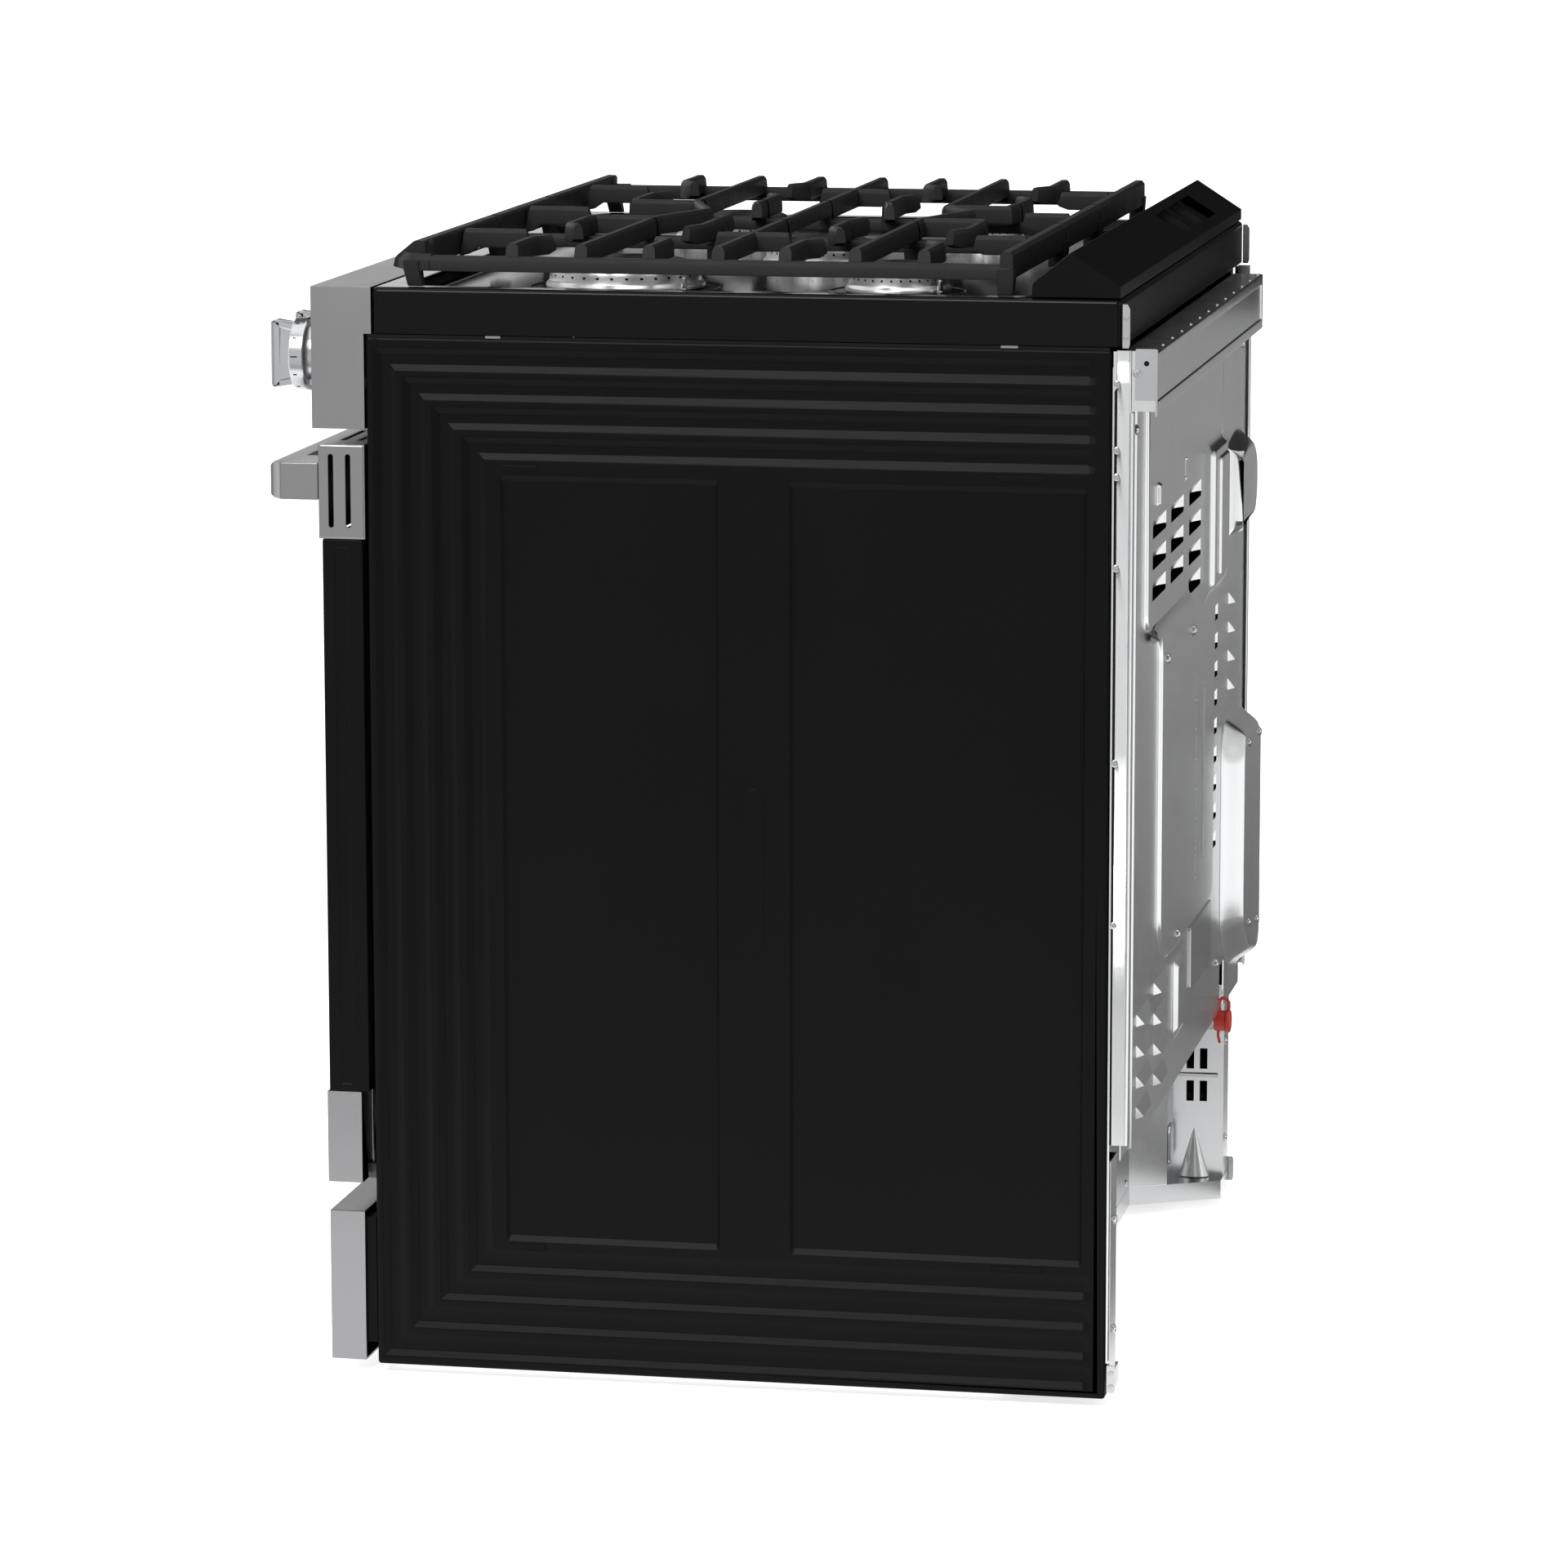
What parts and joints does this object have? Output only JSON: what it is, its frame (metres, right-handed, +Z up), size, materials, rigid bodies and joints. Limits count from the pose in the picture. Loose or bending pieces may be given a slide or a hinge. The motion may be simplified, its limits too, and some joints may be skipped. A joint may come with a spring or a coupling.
{
  "type": "freestanding gas range",
  "caption": "Freestanding gas range: front control knobs, cast-iron grates over sealed burners, drop-down oven door with full-width handle, storage drawer and an open recess low at the back.",
  "frame": {"origin": "centre of the footprint box on the floor, under the levelling feet", "axes": "+X to the right side seen from the front, +Y to the rear (the door faces -Y), +Z up"},
  "size_m": [0.7588, 0.7264, 0.927],
  "materials": {
    "black_steel": "satin",
    "black_enamel": "gloss",
    "oven_enamel": "gloss",
    "stainless": "brushed",
    "galvanised": "satin",
    "bright_metal": "polished",
    "cast_iron": "matte",
    "oven_glass": "gloss",
    "red_plastic": "satin",
    "gasket": "matte",
    "rack_wire": "polished",
    "brass": "satin",
    "burner_metal": "satin"
  },
  "bodies": {
    "range_body": {"side_panel_right": "black_steel", "side_panel_left": "black_steel", "base_frame": "galvanised", "oven_cavity": "oven_enamel", "oven_floor": "oven_enamel", "bake_burner": "burner_metal", "broil_burner": "burner_metal", "cooktop": "black_enamel", "vent_cap": "black_steel", "control_panel": "stainless", "gas_manifold": "brass", "rear_post_right": "galvanised", "rear_post_left": "galvanised", "rear_cover": "galvanised", "rear_ledge": "galvanised", "rear_recess_wall": "galvanised", "power_inlet_bushing": "gasket", "gas_inlet_pipe": "brass", "burner_base_right_front": "burner_metal", "burner_base_right_rear": "burner_metal", "burner_base_centre": "burner_metal", "burner_base_left_front": "burner_metal", "burner_base_left_rear": "burner_metal"},
    "door": {"door_frame": "black_steel", "door_glass_outer": "oven_glass", "door_glass_inner": "oven_glass", "door_inner_panel": "oven_enamel", "door_gasket": "gasket", "door_top_trim": "stainless", "door_bottom_trim": "stainless", "door_handle": "stainless", "hinge_arm_right": "galvanised", "hinge_arm_left": "galvanised"},
    "drawer": {"drawer_front": "stainless", "drawer_box": "black_steel"},
    "rack_upper": {"oven_rack_upper": "rack_wire"},
    "rack_lower": {"oven_rack_lower": "rack_wire"},
    "grate_right_body": {"grate_right": "cast_iron"},
    "grate_centre_body": {"grate_centre": "cast_iron"},
    "grate_left_body": {"grate_left": "cast_iron"},
    "gas_cap": {"gas_inlet_cap": "red_plastic"},
    "cap_right_front": {"burner_cap_right_front": "cast_iron"},
    "cap_right_rear": {"burner_cap_right_rear": "cast_iron"},
    "cap_centre": {"burner_cap_centre": "cast_iron"},
    "cap_left_front": {"burner_cap_left_front": "cast_iron"},
    "cap_left_rear": {"burner_cap_left_rear": "cast_iron"},
    "stem_1": {"valve_stem_1": "bright_metal"},
    "knob_1_body": {"knob_1": "bright_metal"},
    "stem_2": {"valve_stem_2": "bright_metal"},
    "knob_2_body": {"knob_2": "bright_metal"},
    "stem_3": {"valve_stem_3": "bright_metal"},
    "knob_3_body": {"knob_3": "bright_metal"},
    "stem_4": {"valve_stem_4": "bright_metal"},
    "knob_4_body": {"knob_4": "bright_metal"},
    "stem_5": {"valve_stem_5": "bright_metal"},
    "knob_5_body": {"knob_5": "bright_metal"},
    "leg_right_front": {"levelling_leg_right_front": "black_steel"},
    "leg_left_front": {"levelling_leg_left_front": "black_steel"},
    "leg_right_rear": {"levelling_leg_right_rear": "black_steel"},
    "leg_left_rear": {"levelling_leg_left_rear": "black_steel"}
  },
  "joints": [
    {"name": "door_hinge", "type": "hinge", "parent": "range_body", "child": "door", "pos_m": [0, -0.28775, 0.163], "axis": [1, 0, 0], "range_deg": [0, 90]},
    {"name": "drawer_slide", "type": "slide", "parent": "range_body", "child": "drawer", "axis": [0, -1, 0], "range_m": [0, 0.35]},
    {"name": "rack_upper_slide", "type": "slide", "parent": "range_body", "child": "rack_upper", "axis": [0, -1, 0], "range_m": [0, 0.028]},
    {"name": "rack_lower_slide", "type": "slide", "parent": "range_body", "child": "rack_lower", "axis": [0, -1, 0], "range_m": [0, 0.028]},
    {"name": "grate_right_lift", "type": "slide", "parent": "range_body", "child": "grate_right_body", "axis": [0, 0, 1], "range_m": [0, 0.06]},
    {"name": "grate_centre_lift", "type": "slide", "parent": "range_body", "child": "grate_centre_body", "axis": [0, 0, 1], "range_m": [0, 0.06]},
    {"name": "grate_left_lift", "type": "slide", "parent": "range_body", "child": "grate_left_body", "axis": [0, 0, 1], "range_m": [0, 0.06]},
    {"name": "cap_right_front_lift", "type": "slide", "parent": "range_body", "child": "cap_right_front", "axis": [0, 0, 1], "range_m": [0, 0.0022]},
    {"name": "cap_right_rear_lift", "type": "slide", "parent": "range_body", "child": "cap_right_rear", "axis": [0, 0, 1], "range_m": [0, 0.0022]},
    {"name": "cap_centre_lift", "type": "slide", "parent": "range_body", "child": "cap_centre", "axis": [0, 0, 1], "range_m": [0, 0.0022]},
    {"name": "cap_left_front_lift", "type": "slide", "parent": "range_body", "child": "cap_left_front", "axis": [0, 0, 1], "range_m": [0, 0.0022]},
    {"name": "cap_left_rear_lift", "type": "slide", "parent": "range_body", "child": "cap_left_rear", "axis": [0, 0, 1], "range_m": [0, 0.0022]},
    {"name": "knob_1_push", "type": "slide", "parent": "range_body", "child": "stem_1", "axis": [0, 1, 0], "range_m": [0, 0.0026], "stiffness_N_per_m": 900},
    {"name": "knob_1_turn", "type": "hinge", "parent": "stem_1", "child": "knob_1_body", "pos_m": [0.33, -0.33175, 0.832], "axis": [0, -1, 0], "range_deg": [0, 260]},
    {"name": "knob_2_push", "type": "slide", "parent": "range_body", "child": "stem_2", "axis": [0, 1, 0], "range_m": [0, 0.0026], "stiffness_N_per_m": 900},
    {"name": "knob_2_turn", "type": "hinge", "parent": "stem_2", "child": "knob_2_body", "pos_m": [0.255, -0.33175, 0.832], "axis": [0, -1, 0], "range_deg": [0, 260]},
    {"name": "knob_3_push", "type": "slide", "parent": "range_body", "child": "stem_3", "axis": [0, 1, 0], "range_m": [0, 0.0026], "stiffness_N_per_m": 900},
    {"name": "knob_3_turn", "type": "hinge", "parent": "stem_3", "child": "knob_3_body", "pos_m": [0, -0.33175, 0.832], "axis": [0, -1, 0], "range_deg": [0, 260]},
    {"name": "knob_4_push", "type": "slide", "parent": "range_body", "child": "stem_4", "axis": [0, 1, 0], "range_m": [0, 0.0026], "stiffness_N_per_m": 900},
    {"name": "knob_4_turn", "type": "hinge", "parent": "stem_4", "child": "knob_4_body", "pos_m": [-0.255, -0.33175, 0.832], "axis": [0, -1, 0], "range_deg": [0, 260]},
    {"name": "knob_5_push", "type": "slide", "parent": "range_body", "child": "stem_5", "axis": [0, 1, 0], "range_m": [0, 0.0026], "stiffness_N_per_m": 900},
    {"name": "knob_5_turn", "type": "hinge", "parent": "stem_5", "child": "knob_5_body", "pos_m": [-0.33, -0.33175, 0.832], "axis": [0, -1, 0], "range_deg": [0, 260]},
    {"name": "leg_right_front_turn", "type": "hinge", "parent": "range_body", "child": "leg_right_front", "pos_m": [0.305, -0.21175, 0.01], "axis": [0, 0, 1], "continuous": true},
    {"name": "leg_left_front_turn", "type": "hinge", "parent": "range_body", "child": "leg_left_front", "pos_m": [-0.305, -0.21175, 0.01], "axis": [0, 0, 1], "continuous": true},
    {"name": "leg_right_rear_turn", "type": "hinge", "parent": "range_body", "child": "leg_right_rear", "pos_m": [0.305, 0.18825, 0.01], "axis": [0, 0, 1], "continuous": true},
    {"name": "leg_left_rear_turn", "type": "hinge", "parent": "range_body", "child": "leg_left_rear", "pos_m": [-0.305, 0.18825, 0.01], "axis": [0, 0, 1], "continuous": true},
    {"name": "gas_cap_pull", "type": "slide", "parent": "range_body", "child": "gas_cap", "axis": [0, 1, 0], "range_m": [0, 0.02]}
  ]
}
